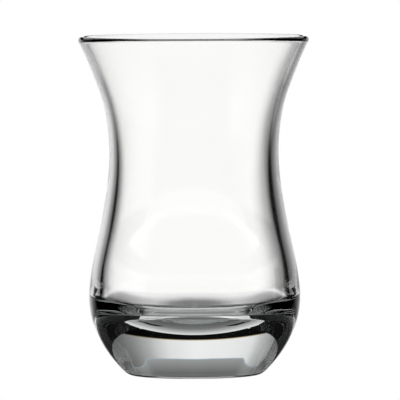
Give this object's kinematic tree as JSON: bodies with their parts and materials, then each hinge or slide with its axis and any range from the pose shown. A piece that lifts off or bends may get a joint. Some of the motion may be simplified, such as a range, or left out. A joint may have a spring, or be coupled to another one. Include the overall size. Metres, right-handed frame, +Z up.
{
  "type": "turkish tea glass",
  "caption": "Empty tulip-shaped tea glass of clear glass, pressed in one piece, with a flared rounded lip, a narrow waist, a round belly and a thick solid base on a small flat foot",
  "frame": {"origin": "the middle of the flat underside, where the glass stands", "axes": "+Z is up along the glass's own axis, and +X and +Y are any two level directions, as the glass is turned and alike all round"},
  "size_m": [0.06, 0.06, 0.088],
  "materials": {
    "clear_glass": "fire-polished clear soda-lime glass"
  },
  "bodies": {
    "root": {"glass": "clear_glass"}
  },
  "joints": []
}
